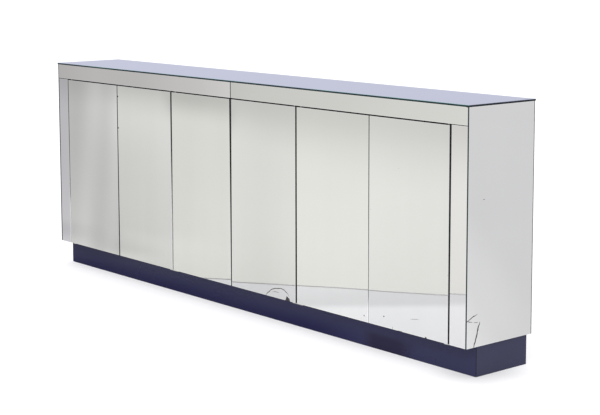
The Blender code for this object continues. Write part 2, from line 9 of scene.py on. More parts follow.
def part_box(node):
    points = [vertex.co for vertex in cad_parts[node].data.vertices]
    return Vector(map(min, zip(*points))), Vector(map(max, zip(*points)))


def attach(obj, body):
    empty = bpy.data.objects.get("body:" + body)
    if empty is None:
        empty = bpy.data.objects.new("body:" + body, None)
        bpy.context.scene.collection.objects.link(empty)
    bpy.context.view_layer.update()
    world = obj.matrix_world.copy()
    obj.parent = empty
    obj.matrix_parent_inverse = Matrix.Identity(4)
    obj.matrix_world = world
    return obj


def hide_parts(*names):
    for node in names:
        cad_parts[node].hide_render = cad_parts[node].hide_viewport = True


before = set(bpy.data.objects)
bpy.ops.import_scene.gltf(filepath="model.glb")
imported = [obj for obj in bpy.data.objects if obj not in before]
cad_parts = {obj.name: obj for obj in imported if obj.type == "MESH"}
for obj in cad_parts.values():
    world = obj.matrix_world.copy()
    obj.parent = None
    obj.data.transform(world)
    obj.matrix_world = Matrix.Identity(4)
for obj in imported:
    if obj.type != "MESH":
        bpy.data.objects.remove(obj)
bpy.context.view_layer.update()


# Camera
# It stands at eye height off the right end and looks along the front, slightly down.
# The small shift keeps the uprights almost parallel, as a view camera does.
def put_in_scene(name, data):
    thing = bpy.data.objects.new(name, data)
    bpy.context.scene.collection.objects.link(thing)
    return thing


EYE, DEGREES_TURNED, DEGREES_DOWN, DEGREES_ROLLED = (4.4341, -3.5925, 1.3625), 49.556, 6.964, -0.109

camera = put_in_scene("camera", bpy.data.cameras.new("camera"))
camera.data.sensor_width = 36.0
camera.data.lens = 90.2
camera.data.shift_y = -0.12
camera.data.clip_end = 300.0
camera.matrix_world = (
    Matrix.Translation(EYE)
    @ Matrix.Rotation(math.radians(DEGREES_TURNED), 4, "Z")
    @ Matrix.Rotation(math.radians(90 - DEGREES_DOWN), 4, "X")
    @ Matrix.Rotation(math.radians(DEGREES_ROLLED), 4, "Z")
)
bpy.context.scene.camera = camera


# Studio floor
# Seamless white paper, half of whose white is painted glow. The mirrors show a floor of their own, which only
# reflections see: cool paper with a folded edge, on a warmer white, with painted shade that makes it fall off
# to the left.
def set_inputs(tree, node, inputs):
    """Links each input to a socket, or sets its value. Inputs go by name or number."""
    for name, value in inputs.items():
        if isinstance(value, bpy.types.NodeSocket):
            tree.links.new(value, node.inputs[name])
        else:
            node.inputs[name].default_value = value


def node_in(tree, kind, inputs, **settings):
    node = tree.nodes.new(kind)
    for name, value in settings.items():
        setattr(node, name, value)
    set_inputs(tree, node, inputs)
    return node


def calc(tree, operation, *values):
    return node_in(tree, "ShaderNodeMath", dict(enumerate(values)), operation=operation).outputs[0]


def times(tree, value, *others):
    for other in others:
        value = calc(tree, "MULTIPLY", value, other)
    return value


def plus(tree, value, *others):
    for other in others:
        value = calc(tree, "ADD", value, other)
    return value


def minus(tree, value, other):
    return calc(tree, "SUBTRACT", value, other)


def fade(tree, value, start, end, low=0.0, high=1.0):
    """Rises smoothly from low to high as the value goes from start to end."""
    inputs = dict(enumerate((value, start, end, low, high)))
    return node_in(tree, "ShaderNodeMapRange", inputs, interpolation_type="SMOOTHSTEP").outputs[0]


def blend_colour(tree, amount, first, second, how="MIX"):
    inputs = {0: amount}
    for number, colour in ((6, first), (7, second)):
        inputs[number] = colour if isinstance(colour, bpy.types.NodeSocket) else (*colour, 1.0)
    return node_in(tree, "ShaderNodeMix", inputs, data_type="RGBA", blend_type=how).outputs[2]


def dimmed(tree, colour, light):
    return node_in(tree, "ShaderNodeVectorMath", {0: colour, "Scale": light}, operation="SCALE").outputs[0]


def place(tree, scale=(1, 1, 1)):
    """Object coordinates in metres, stretched by a scale along each axis."""
    coordinates = tree.nodes.new("ShaderNodeTexCoord").outputs["Object"]
    return node_in(tree, "ShaderNodeMapping", {"Vector": coordinates, "Scale": scale}).outputs[0]


def axes_of(tree, vector):
    return node_in(tree, "ShaderNodeSeparateXYZ", {0: vector}).outputs


def mottle(tree, scale, detail=3.0, roughness=0.55, distortion=0.0, stretch=(1, 1, 1)):
    inputs = {"Vector": place(tree, stretch), "Scale": scale, "Detail": detail}
    inputs.update({"Roughness": roughness, "Distortion": distortion})
    return node_in(tree, "ShaderNodeTexNoise", inputs).outputs["Fac"]


def new_material(name):
    """A node material: its tree and its one shader."""
    material = bpy.data.materials.new(name)
    material.use_nodes = True
    return material, material.node_tree, material.node_tree.nodes["Principled BSDF"]


def bump(tree, shader, height):
    """Turns a height in metres into relief on the shader."""
    node = node_in(tree, "ShaderNodeBump", {"Strength": 1.0, "Distance": 1.0, "Height": height})
    tree.links.new(node.outputs[0], shader.inputs["Normal"])


def glowing_white(tree, shader, colour):
    """Half the floor's white is painted glow, emitted by the floor itself, which thins the shadow under the
    cabinet.
    """
    set_inputs(tree, shader, {
        "Base Color": blend_colour(tree, 0.4, colour, (0.0, 0.0, 0.0)), "Emission Color": colour,
        "Emission Strength": 0.5, "Roughness": 0.9, "Specular IOR Level": 0.0,
    })


SHADE_REACH, SHADE_LIGHT = 0.17, 0.77


def studio_white():
    material, tree, shader = new_material("studio_white")
    cloud = mottle(tree, 0.8)
    white = blend_colour(tree, cloud, (0.93, 0.93, 0.95), (0.96, 0.96, 0.97))
    # A soft painted shadow lies round the foot of the right end.
    low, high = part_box("plinth_right")
    x, y, _ = axes_of(tree, place(tree))
    aside = calc(tree, "MAXIMUM", minus(tree, x, high.x), 0.0)
    off_middle = calc(tree, "ABSOLUTE", minus(tree, y, (low.y + high.y) / 2))
    ahead = calc(tree, "MAXIMUM", minus(tree, off_middle, (high.y - low.y) / 2), 0.0)
    away = calc(tree, "SQRT", calc(tree, "MULTIPLY_ADD", aside, aside, times(tree, ahead, ahead)))
    nearest = fade(tree, x, 1.0, 1.22, 1.0, fade(tree, y, 0.16, -0.02, 1.0, SHADE_LIGHT))
    shade = fade(tree, away, 0.0, SHADE_REACH, nearest, 1.0)
    glowing_white(tree, shader, dimmed(tree, white, shade))
    return material


PAPER_SLANT, PAPER_REACH, SQUARE_TO_SLANT = 0.65, 0.751, 0.838
FAN_X, FAN_Y = 4.434, 3.279


def mirrored_paper():
    material, tree, shader = new_material("mirrored_paper")
    x, y, _ = axes_of(tree, place(tree))
    ahead = times(tree, y, -1.0)
    # Metres from the paper's front edge, which runs slantwise and loses itself past the left end.
    slant = plus(tree, calc(tree, "MULTIPLY_ADD", x, PAPER_SLANT, y), PAPER_REACH)
    from_edge = times(tree, slant, SQUARE_TO_SLANT)
    softness = fade(tree, x, -1.1, -0.5, 0.35, 0.003)
    on_paper = fade(tree, from_edge, times(tree, softness, -1.0), softness)
    # Painted shade darkens the paper just inside that edge, as if it curled up there.
    past_start = minus(tree, from_edge, fade(tree, x, 0.0, 0.6, 0.28, 0.07))
    hem_shade = times(
        tree, fade(tree, past_start, 0.0, 0.15, fade(tree, x, -0.1, 0.15, 0.13, 0.18), 0.0), on_paper,
        fade(tree, x, -0.8, -0.5),
    )
    # Painted shade: the light thins out to the left, in a fan and past a line that slants off from the left
    # half.
    fan = calc(tree, "DIVIDE", minus(tree, FAN_X, x), minus(tree, FAN_Y, y))
    past_left = times(tree, plus(tree, calc(tree, "MULTIPLY_ADD", x, 0.559, y), 1.157), -0.873)
    left = times(
        tree, fade(tree, fan, 1.22, 1.75, 0.0, 0.30), fade(tree, past_left, 0.05, 0.6),
        fade(tree, ahead, 1.5, 4.0, 1.0, fade(tree, fan, 1.45, 1.6, 0.3, 0.65)),
        fade(tree, ahead, -2.5, 0.2),
    )
    near_left = times(
        tree, fade(tree, ahead, 0.5, 0.8, 0.18, 0.0), fade(tree, fan, 1.38, 1.5),
        fade(tree, past_left, -0.12, 0.12),
    )
    # The painted shade thins it out far in front too, nearer in the middle of the fan.
    middle = times(tree, fade(tree, fan, 1.27, 1.30), fade(tree, fan, 1.43, 1.39))
    far_start = fade(tree, fan, 1.08, 1.3, 2.5, 3.3)
    far_end = fade(tree, middle, 0.0, 1.0, 5.3, 4.4)
    far_depth = times(tree, fade(tree, fan, 1.25, 1.35, 0.20, 0.27), fade(tree, fan, 1.46, 1.6, 1.0, 0.4))
    far = times(tree, fade(tree, ahead, far_start, far_end), far_depth)
    # And painted shade in two steps behind the right end.
    behind = calc(tree, "MULTIPLY_ADD", x, -0.8, plus(tree, y, 1.2))
    steps = plus(tree, fade(tree, behind, 0.1, 0.36, 0.0, 0.125), fade(tree, behind, 0.35, 0.7, 0.0, 0.075))
    right_back = times(tree, steps, fade(tree, y, 0.0, 0.15), fade(tree, x, 0.9, 1.3))
    # Painted shade: what the plinth's front picks up close by lies in its own shade.
    beside = times(
        tree, fade(tree, ahead, 0.42, 0.2, 0.0, 0.3), fade(tree, x, -0.2, -1.2, 0.4, 1.0),
        fade(tree, ahead, 0.0, 0.1),
    )
    dim = plus(tree, plus(tree, left, far), plus(tree, near_left, right_back), hem_shade, beside)
    cloud = calc(tree, "MULTIPLY_ADD", mottle(tree, 0.8), 0.03, 0.985)
    white = blend_colour(tree, on_paper, (0.835, 0.835, 0.81), (0.94, 0.945, 0.98))
    glowing_white(tree, shader, dimmed(tree, white, times(tree, minus(tree, 1.0, dim), cloud)))
    return material


def paper_hem():
    material, tree, shader = new_material("paper_hem")
    # Its grey is painted shade, the shaded inside of the hem.
    hem_mottle = mottle(tree, 6.0)
    colour = blend_colour(tree, hem_mottle, (0.57, 0.57, 0.59), (0.64, 0.64, 0.66))
    set_inputs(tree, shader, {"Base Color": colour, "Roughness": 0.9})
    return material


FLOOR_REACH, MIRRORED_ABOVE = 80.0, 0.0002
HEM_LEFT, HEM_RIGHT, HEM_HEIGHT = -0.68, 0.48, 0.0045


def floor_points(height):
    return [(x * FLOOR_REACH, y * FLOOR_REACH, height) for x, y in ((-1, -1), (1, -1), (1, 1), (-1, 1))]


def laid_out(name, points, faces, materials):
    mesh = bpy.data.meshes.new(name)
    mesh.from_pydata(points, [], faces)
    for index, material in enumerate(materials):
        mesh.materials.append(material)
        mesh.polygons[index].material_index = index
    laid = put_in_scene(name, mesh)
    return laid


floor = laid_out("floor", floor_points(0.0), [(0, 1, 2, 3)], [studio_white()])
floor.visible_glossy = False
# The folded hem along the paper's edge stands up, so that it shows in the doors as a fine line. Its grey is
# painted shade.
hem_points = [
    (x, -PAPER_SLANT * x - PAPER_REACH, z)
    for x, z in ((HEM_LEFT, 0.0), (HEM_RIGHT, 0.0), (HEM_RIGHT, HEM_HEIGHT), (HEM_LEFT, HEM_HEIGHT))
]
mirrored_floor = laid_out(
    "mirrored_floor", floor_points(MIRRORED_ABOVE) + hem_points, [(0, 1, 2, 3), (4, 5, 6, 7)],
    [mirrored_paper(), paper_hem()],
)
mirrored_floor.visible_camera = False
mirrored_floor.visible_diffuse = False
mirrored_floor.visible_transmission = False
mirrored_floor.visible_shadow = False


# Studio light
# An even white sky, brighter overhead, with a lavender-grey band low behind the cabinet for the top
# mirror to pick up, and one large softbox from the front right.
world = bpy.data.worlds.new("studio")
bpy.context.scene.world = world
world.use_nodes = True
sky = world.node_tree
sky_x, sky_y, sky_z = axes_of(sky, sky.nodes.new("ShaderNodeTexCoord").outputs["Generated"])
behind = plus(sky, times(sky, sky_x, -0.8), times(sky, sky_y, 0.6))
low = blend_colour(sky, fade(sky, behind, 0.2, 0.85), (0.98, 0.98, 0.98), (0.63, 0.65, 0.79))
sky_colour = blend_colour(sky, fade(sky, sky_z, 0.12, 0.5), low, (1.34, 1.34, 1.35))
set_inputs(sky, sky.nodes["Background"], {"Color": sky_colour, "Strength": 1.0})

LIT_SPOT = Vector((0, 0, 0.4))
softbox = put_in_scene("softbox", bpy.data.lights.new("softbox", "AREA"))
softbox.data.shape = "RECTANGLE"
softbox.data.size = 3.2
softbox.data.size_y = 2.4
softbox.data.energy = 60.0
softbox.location = (2.6, -4.2, 4.2)
softbox.rotation_euler = (LIT_SPOT - softbox.location).to_track_quat("-Z", "Y").to_euler()
bpy.context.scene.view_settings.view_transform = "Standard"


# Case boards
# Sides, floor, top, partitions and shelves of the case, and the panel let into its back.
# Walnut-stained plywood with satin lacquer; the plies show on the cut edges.
def facing(tree):
    """How much the surface faces along X, Y and Z."""
    return axes_of(tree, tree.nodes.new("ShaderNodeTexCoord").outputs["Normal"])


def faces_along(tree, axis):
    """1 where the surface faces along an axis, 0 on the edges round it."""
    return calc(tree, "GREATER_THAN", calc(tree, "ABSOLUTE", facing(tree)["XYZ".index(axis)]), 0.7)


PLY_PAIR, PORE_RELIEF = 0.0036, -0.00006


def walnut_face(tree, grain_axis):
    """The stained veneer: its figure, its dark pores and its colour."""
    coarse, fine = [9.0, 9.0, 9.0], [230.0, 230.0, 230.0]
    coarse["XYZ".index(grain_axis)] = 0.55
    fine["XYZ".index(grain_axis)] = 9.0
    figure = mottle(tree, 1.6, 4.0, 0.6, 1.4, stretch=coarse)
    pores = fade(tree, mottle(tree, 1.0, 2.0, 0.6, stretch=fine), 0.60, 0.72)
    reflection_banding = fade(tree, figure, 0.32, 0.68)
    colour = blend_colour(tree, reflection_banding, (0.120, 0.062, 0.030), (0.225, 0.128, 0.066))
    colour = blend_colour(tree, times(tree, pores, 0.55), colour, (0.045, 0.022, 0.012))
    return figure, pores, colour


def stained_ply(name, thickness_axis, grain_axis, front_taped=False):
    material, tree, shader = new_material(name)
    figure, pores, face = walnut_face(tree, grain_axis)
    across = axes_of(tree, place(tree))["XYZ".index(thickness_axis)]
    layer = calc(tree, "SINE", times(tree, across, 2 * math.pi / PLY_PAIR))
    edge = blend_colour(tree, fade(tree, layer, -0.5, 0.5), (0.085, 0.046, 0.025), (0.235, 0.150, 0.088))
    stain = times(tree, mottle(tree, 160.0, 2.0), 0.5)
    edge = blend_colour(tree, stain, edge, (0.07, 0.04, 0.022))
    is_face = faces_along(tree, thickness_axis)
    if front_taped:
        is_face = calc(tree, "MAXIMUM", is_face, faces_along(tree, "Y"))
    set_inputs(tree, shader, {
        "Base Color": blend_colour(tree, is_face, edge, face),
        "Roughness": fade(tree, figure, 0.2, 0.8, 0.38, 0.52), "Specular IOR Level": 0.4,
    })
    bump(tree, shader, times(tree, pores, PORE_RELIEF))
    return material


def finish(node, material):
    """Gives a CAD node its material."""
    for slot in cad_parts[node].material_slots:
        slot.material = material


upright_ply = stained_ply("stained_ply_upright", "X", "Z", front_taped=True)
level_ply = stained_ply("stained_ply_level", "Z", "X", front_taped=True)
for node in ("left_side_panel", "right_side_panel", "partition_1", "partition_2"):
    finish(node, upright_ply)
for node in ("bottom_deck", "top_deck", "shelf_1", "shelf_2", "shelf_3"):
    finish(node, level_ply)
finish("back_panel", stained_ply("stained_ply_back", "Y", "Z"))


# Face boards
# The stiles and the header rail that carry the front mirrors, of the same plywood.
# Their fronts and edges are painted dark brown, so that the joints between the mirrors read as lines.
def painted_edge_ply(name, grain_axis):
    material, tree, shader = new_material(name)
    figure, pores, face = walnut_face(tree, grain_axis)
    brushed = mottle(tree, 1.0, 3.0, stretch=(60, 60, 60))
    paint = blend_colour(tree, brushed, (0.045, 0.034, 0.036), (0.075, 0.058, 0.062))
    inside = calc(tree, "GREATER_THAN", facing(tree)[1], 0.7)
    set_inputs(tree, shader, {
        "Base Color": blend_colour(tree, inside, paint, face),
        "Roughness": fade(tree, figure, 0.2, 0.8, 0.40, 0.55), "Specular IOR Level": 0.35,
    })
    bump(tree, shader, times(tree, pores, PORE_RELIEF))
    return material


upright_face_ply = painted_edge_ply("painted_edge_ply_upright", "Z")
for node in ("left_stile_board", "right_stile_board"):
    finish(node, upright_face_ply)
finish("header_rail", painted_edge_ply("painted_edge_ply_level", "X"))


# Plinth
# Four boards mitred at the corners, faced with dark navy laminate, semi-gloss and a little scuffed.
# The laminate's dark core shows as a fine line where the corners are eased.
def navy_laminate():
    material, tree, shader = new_material("navy_laminate")
    cloud = mottle(tree, 1.0, 3.0, 0.6, stretch=(2.5, 2.5, 9.0))
    x, _, z = axes_of(tree, place(tree))
    # Painted shade: the front is darker towards the floor and towards the left end, where the floor's shadow
    # shows in its gloss.
    low_down = times(tree, fade(tree, z, 0.085, 0.01), fade(tree, x, 0.8, 0.4))
    painted_shade_amount = calc(tree, "MAXIMUM", low_down, fade(tree, x, -0.6, -1.1, 0.0, 0.75))
    unshaded_colour = blend_colour(tree, cloud, (0.0190, 0.0200, 0.060), (0.0220, 0.0232, 0.076))
    shaded_colour = blend_colour(tree, painted_shade_amount, unshaded_colour, (0.0032, 0.0032, 0.043))
    # Painted light: the ends, and the front towards the right end, are paler.
    painted_lit_colour = blend_colour(tree, cloud, (0.027, 0.028, 0.062), (0.032, 0.033, 0.070))
    painted_lit_amount = calc(tree, "MAXIMUM", fade(tree, x, 0.6, 1.2, 0.0, 0.30), faces_along(tree, "X"))
    colour = blend_colour(tree, painted_lit_amount, shaded_colour, painted_lit_colour)
    # The front is darker in a patch low down, short of the right end.
    low_dark_patch = times(
        tree, fade(tree, x, 0.66, 0.74), fade(tree, x, 0.95, 0.84), fade(tree, z, 0.068, 0.038)
    )
    colour = blend_colour(tree, low_dark_patch, colour, (0.010, 0.008, 0.034))
    scuffs = fade(tree, mottle(tree, 1.0, 4.0, 0.65, stretch=(14, 14, 160)), 0.64, 0.78)
    colour = blend_colour(tree, times(tree, scuffs, 0.15), colour, (0.05, 0.05, 0.085))
    # An eased corner faces along no axis.
    flat = 0.0
    for along in facing(tree):
        flat = calc(tree, "MAXIMUM", flat, calc(tree, "ABSOLUTE", along))
    eased = calc(tree, "LESS_THAN", flat, 0.95)
    set_inputs(tree, shader, {
        "Base Color": blend_colour(tree, eased, colour, (0.004, 0.004, 0.006)),
        "Roughness": calc(tree, "MULTIPLY_ADD", cloud, 0.12, 0.22), "Specular IOR Level": 0.16,
    })
    bump(tree, shader, times(tree, mottle(tree, 14.0, 2.0), 0.00015))
    return material


laminate = navy_laminate()
for node in ("plinth_front", "plinth_right", "plinth_back", "plinth_left"):
    finish(node, laminate)


# Mirror glass
# Silvered panes stuck to every face: one on the top, two along the header, one on each stile, end
# and door. Each has a ground arris, a dark green cut edge and a painted back.
def between(tree, start, end, share):
    return calc(tree, "MULTIPLY_ADD", minus(tree, end, start), share, start)


def stored(tree, label):
    """What a pane's mesh stores under a name."""
    return node_in(tree, "ShaderNodeAttribute", {}, attribute_name=label).outputs


def silvered_glass():
    material, tree, shader = new_material("silvered_glass")
    width, height, reflection_banding = axes_of(tree, stored(tree, "pane_size")["Vector"])
    corner = node_in(tree, "ShaderNodeUVMap", {}, uv_map="from_corner")
    u, v, _ = axes_of(tree, corner.outputs["UV"])
    from_right, from_top = minus(tree, width, u), minus(tree, height, v)
    to_side, to_end = calc(tree, "MINIMUM", u, from_right), calc(tree, "MINIMUM", v, from_top)
    to_edge = calc(tree, "MINIMUM", to_side, to_end)
    # Painted reflection: soft upright bands, lighter and darker, as glass that is bowed by its mastic shows
    # them.
    bands = minus(tree, mottle(tree, 1.0, 1.5, stretch=(11.0, 11.0, 0.7)), 0.5)
    patches = minus(tree, mottle(tree, 2.3, 2.0), 0.5)
    # Painted reflection too: a bow's crests are brighter.
    crest, crest_depth, _ = axes_of(tree, stored(tree, "bow_sheen")["Vector"])
    shade = plus(
        tree, times(tree, bands, reflection_banding), times(tree, patches, 0.045),
        times(tree, calc(tree, "COSINE", crest), crest_depth),
    )
    # Painted reflection: each pane is a little brighter towards one corner than another.
    wash = stored(tree, "wash")
    left_foot, left_top, right_foot = axes_of(tree, wash["Color"])
    rise, run = calc(tree, "DIVIDE", v, height), calc(tree, "DIVIDE", u, width)
    left = between(tree, left_foot, left_top, rise)
    right = between(tree, right_foot, wash["Alpha"], rise)
    # Painted highlight: the silver is brighter near the edge, where the arris catches light behind it.
    rim = fade(tree, to_edge, 0.0012, 0.004, 1.10, 1.0)
    shade = times(tree, plus(tree, shade, rim), between(tree, left, right, run))
    colour = dimmed(tree, stored(tree, "silver")["Color"], shade)
    # Silver lost in specks near the edges, and a few pinholes further in.
    specks = mottle(tree, 190.0, 3.0, 0.7)
    reach = fade(tree, to_edge, 0.0008, 0.016, 0.66, 0.84)
    lost = fade(tree, minus(tree, specks, reach), 0.0, 0.04)
    colour = blend_colour(tree, times(tree, lost, 0.75), colour, (0.10, 0.09, 0.075))
    # Painted shade: along some edges the silver is darkened, raggedly, as a pane's far edge shows dark.
    ragged = times(tree, mottle(tree, 90.0), 0.0016)
    far_edge_shade = axes_of(tree, stored(tree, "far_edge_shade")["Vector"])
    for distance, shade_width in zip((u, from_right, from_top), far_edge_shade):
        inside = minus(tree, plus(tree, distance, ragged), shade_width)
        reached = calc(tree, "GREATER_THAN", shade_width, 0.0)
        edge_darkening = times(tree, fade(tree, inside, 0.0, 0.001, 0.9, 0.0), reached)
        colour = blend_colour(tree, edge_darkening, colour, (0.02, 0.022, 0.025))
    wipes_and_highlight = fade(tree, mottle(tree, 1.0, 4.0, 0.6, 0.8, stretch=(3.0, 3.0, 6.0)), 0.35, 0.8, 0.012, 0.05)
    set_inputs(tree, shader, {
        "Base Color": colour, "Metallic": 1.0, "Roughness": calc(tree, "MULTIPLY_ADD", lost, 0.4, wipes_and_highlight),
    })
    # A pane's own lean, and the slow waves of old float glass.
    lean = {0: place(tree), 1: stored(tree, "lean")["Vector"]}
    tilt = node_in(tree, "ShaderNodeVectorMath", lean, operation="DOT_PRODUCT").outputs["Value"]
    waves = times(tree, mottle(tree, 1.0, 1.0, stretch=(1.6, 1.6, 1.0)), 0.0022)
    bump(tree, shader, plus(tree, tilt, waves))
    return material


def as_it_is(tree, colour):
    return colour


def speckled(
    name, speckle, dark, light, rough, relief=None, tinted_by=as_it_is, metallic=0.0, specular=0.5
):
    """A finish that varies between a dark and a light tone.

    speckle is the pattern's scale, detail and stretch; rough is how much rougher the light tone
    is, and how rough the dark one; relief is a finer pattern's scale, detail and height.
    """
    material, tree, shader = new_material(name)
    scale, detail, stretch = speckle
    tone = mottle(tree, scale, detail, stretch=stretch)
    set_inputs(tree, shader, {
        "Base Color": tinted_by(tree, blend_colour(tree, tone, dark, light)), "Metallic": metallic,
        "Specular IOR Level": specular, "Roughness": calc(tree, "MULTIPLY_ADD", tone, *rough),
    })
    if relief:
        scale, detail, height = relief
        bump(tree, shader, times(tree, mottle(tree, scale, detail), height))
    return material


EVENLY = (1, 1, 1)


def ground_arris(name, tinted_by=as_it_is):
    return speckled(
        name, (420.0, 2.0, EVENLY), (0.19, 0.215, 0.215), (0.32, 0.345, 0.345), (0.2, 0.25),
        tinted_by=tinted_by, metallic=0.6,
    )


def cut_glass_edge(name, tinted_by=as_it_is):
    return speckled(
        name, (1.0, 3.0, (30, 30, 30)), (0.005, 0.010, 0.011), (0.014, 0.024, 0.025), (0.15, 0.12),
        (250.0, 2.0, 0.00008), tinted_by, specular=0.15,
    )


def backing_paint():
    material, tree, shader = new_material("mirror_backing_paint")
    rolled = mottle(tree, 60.0, 3.0)
    colour = blend_colour(tree, rolled, (0.13, 0.115, 0.10), (0.20, 0.18, 0.155))
    set_inputs(tree, shader, {"Base Color": colour, "Roughness": 0.7})
    bump(tree, shader, times(tree, rolled, 0.0001))
    return material


SILVER, ARRIS, EDGE, BACK = range(4)
GLASS_FINISHES = (
    silvered_glass(), ground_arris("ground_arris"), cut_glass_edge("cut_glass_edge"), backing_paint(),
)


def tinted_finishes(name, tinted_by):
    """The finishes of a pane whose arris and cut edge have a tint of their own, on some panes a painted
    highlight.
    """
    arris = ground_arris(f"{name}_ground_arris", tinted_by)
    edge = cut_glass_edge(f"{name}_cut_edge", tinted_by)
    return GLASS_FINISHES[SILVER], arris, edge, GLASS_FINISHES[BACK]


def axes_across(outward):
    """The axes along a pane's width and height."""
    return {"X": (1, 2), "Y": (0, 2), "Z": (0, 1)}["XYZ"[max(range(3), key=lambda i: abs(outward[i]))]]


def pane_mesh(name, low, high, outward, arris, short, drop):
    """A sheet of glass between two corners, with an arris round its outer face.

    short is what the left and the right edge stand in from the corners, each at foot and top;
    drop is what the top edge stands below them.
    """
    mesh = bpy.data.meshes.new(name)
    form = bmesh.new()
    bmesh.ops.create_cube(form, size=1.0)
    middle, size = (low + high) / 2, high - low
    across, up = axes_across(outward)
    for vertex in form.verts:
        is_right, is_top = vertex.co[across] > 0, vertex.co[up] > 0
        vertex.co = Vector([middle[i] + vertex.co[i] * size[i] for i in range(3)])
        vertex.co[across] += -short[1][is_top] if is_right else short[0][is_top]
        vertex.co[up] -= drop if is_top else 0
    form.normal_update()
    outer = max(form.faces, key=lambda face: face.normal.dot(outward))
    bmesh.ops.bevel(
        form, geom=list(outer.edges), offset=arris, offset_type="OFFSET", segments=1, affect="EDGES"
    )
    form.normal_update()
    for face in form.faces:
        outwards = face.normal.dot(outward)
        if abs(outwards) > 0.99:
            face.material_index = SILVER if outwards > 0 else BACK
        else:
            face.material_index = ARRIS if outwards > 0.1 else EDGE
    form.to_mesh(mesh)
    form.free()
    return mesh


def mark_pane(mesh, low, high, outward, silver, lean, reflection_banding, short, drop, wash, far_edge_shade, bow_sheen):
    """Stores what the silvered glass reads: distances from a corner, the pane's size, tint and lean.

    wash is how bright the painted reflection is along the left and the right edge, each at foot and top;
    the edge shade is how far painted shade darkens the silver from the left, the right and the top edge; the
    bow sheen is how much brighter, as painted reflection, the crests of its bowed glass are, where one lies
    at foot and top, and their spacing.
    """
    across, up = axes_across(outward)
    from_corner, sizes, bows = [], [], []
    bow_depth, crest_foot, crest_top, crest_spacing = bow_sheen
    for vertex in mesh.vertices:
        rise = (vertex.co[up] - low[up]) / (high[up] - low[up])
        left = low[across] + short[0][0] + (short[0][1] - short[0][0]) * rise
        right = high[across] - short[1][0] - (short[1][1] - short[1][0]) * rise
        from_corner.append((vertex.co[across] - left, vertex.co[up] - low[up]))
        sizes.extend((right - left, high[up] - low[up] - drop, reflection_banding))
        from_crest = vertex.co[across] - low[across] - crest_foot - (crest_top - crest_foot) * rise
        bows.extend((2 * math.pi * from_crest / crest_spacing, bow_depth, 0.0))
    layer = mesh.uv_layers.new(name="from_corner")
    for loop in mesh.loops:
        layer.data[loop.index].uv = from_corner[loop.vertex_index]
    count = len(mesh.vertices)
    for label, colour in (("silver", (*silver, 1.0)), ("wash", wash[0] + wash[1])):
        mesh.attributes.new(label, "FLOAT_COLOR", "POINT").data.foreach_set("color", colour * count)
    even = {"lean": list(lean) * count, "far_edge_shade": list(far_edge_shade) * count}
    for label, values in {"pane_size": sizes, "bow_sheen": bows, **even}.items():
        mesh.attributes.new(label, "FLOAT_VECTOR", "POINT").data.foreach_set("vector", values)


def part_from(mesh, name, body):
    piece = put_in_scene(name, mesh)
    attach(piece, body)
    return piece


def pane(
    node, body, outward, silver, lean=(0, 0, 0), reflection_banding=0.02, arris=0.0007, slot="mirror", cuts=(),
    short=((0, 0), (0, 0)), drop=0, wash=((1, 1), (1, 1)), far_edge_shade=(0, 0, 0), finishes=GLASS_FINISHES,
    bow_sheen=(0, 0, 0, 1),
):
    low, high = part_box(node)
    outward = Vector(outward)
    mesh = pane_mesh(node + "_glass", low, high, outward, arris, short, drop)
    for material in finishes:
        mesh.materials.append(material)
    if cuts:
        mesh = broken_mesh(mesh, cuts)
    mark_pane(mesh, low, high, outward, silver, lean, reflection_banding, short, drop, wash, far_edge_shade, bow_sheen)
    piece = part_from(mesh, node + "_glass", body)
    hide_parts(node)


# Damage to the mirrors
# Hairline cracks that run in from a knock, a shell of glass that has come away, and small chips.
# Each is a closed cutter, cut into its pane, and the walls that it leaves are broken glass.
BROKEN_GLASS = speckled(
    "broken_glass", (700.0, 2.0, EVENLY), (0.018, 0.016, 0.013), (0.11, 0.10, 0.085), (0.3, 0.15),
)
CUTTER_ABOVE_FACE = 0.001
CRACK_STEP, CRACK_WANDER, CRACK_END, TAPERED_STEPS, CRACK_SPREAD = 0.006, 0.0007, 0.35, 3, 1.6
CHIP_STEPS, CHIP_RAGGED, CHIP_NARROWED = 4, 0.08, 0.8


def crack(points, width, depth, outward, seed):
    """A closed wedge that follows a wandering line across a pane's face, thinner at its ends."""
    chance = random.Random(seed)
    outward = Vector(outward)
    points = [Vector(point) for point in points]
    path = [points[0]]
    for start, end in zip(points, points[1:]):
        steps = max(1, round((end - start).length / CRACK_STEP))
        aside = (end - start).normalized().cross(outward)
        for step in range(1, steps + 1):
            wander = 0.0 if step == steps else chance.uniform(-CRACK_WANDER, CRACK_WANDER)
            path.append(start.lerp(end, step / steps) + aside * wander)
    form = bmesh.new()
    rings = []
    for index, point in enumerate(path):
        ahead = path[min(index + 1, len(path) - 1)] - path[max(index - 1, 0)]
        aside = ahead.normalized().cross(outward)
        share = min(index, len(path) - 1 - index) / TAPERED_STEPS
        half = width / 2 * (CRACK_END + (1 - CRACK_END) * min(1.0, share)) * chance.uniform(0.8, 1.2)
        top, side = point + outward * CUTTER_ABOVE_FACE, aside * half * CRACK_SPREAD
        rings.append([form.verts.new(corner) for corner in (top - side, top + side, point - outward * depth)])
    for first, second in zip(rings, rings[1:]):
        for i in range(3):
            form.faces.new((first[i], first[(i + 1) % 3], second[(i + 1) % 3], second[i]))
    form.faces.new(rings[0])
    form.faces.new(rings[-1])
    bmesh.ops.recalc_face_normals(form, faces=form.faces)
    return form


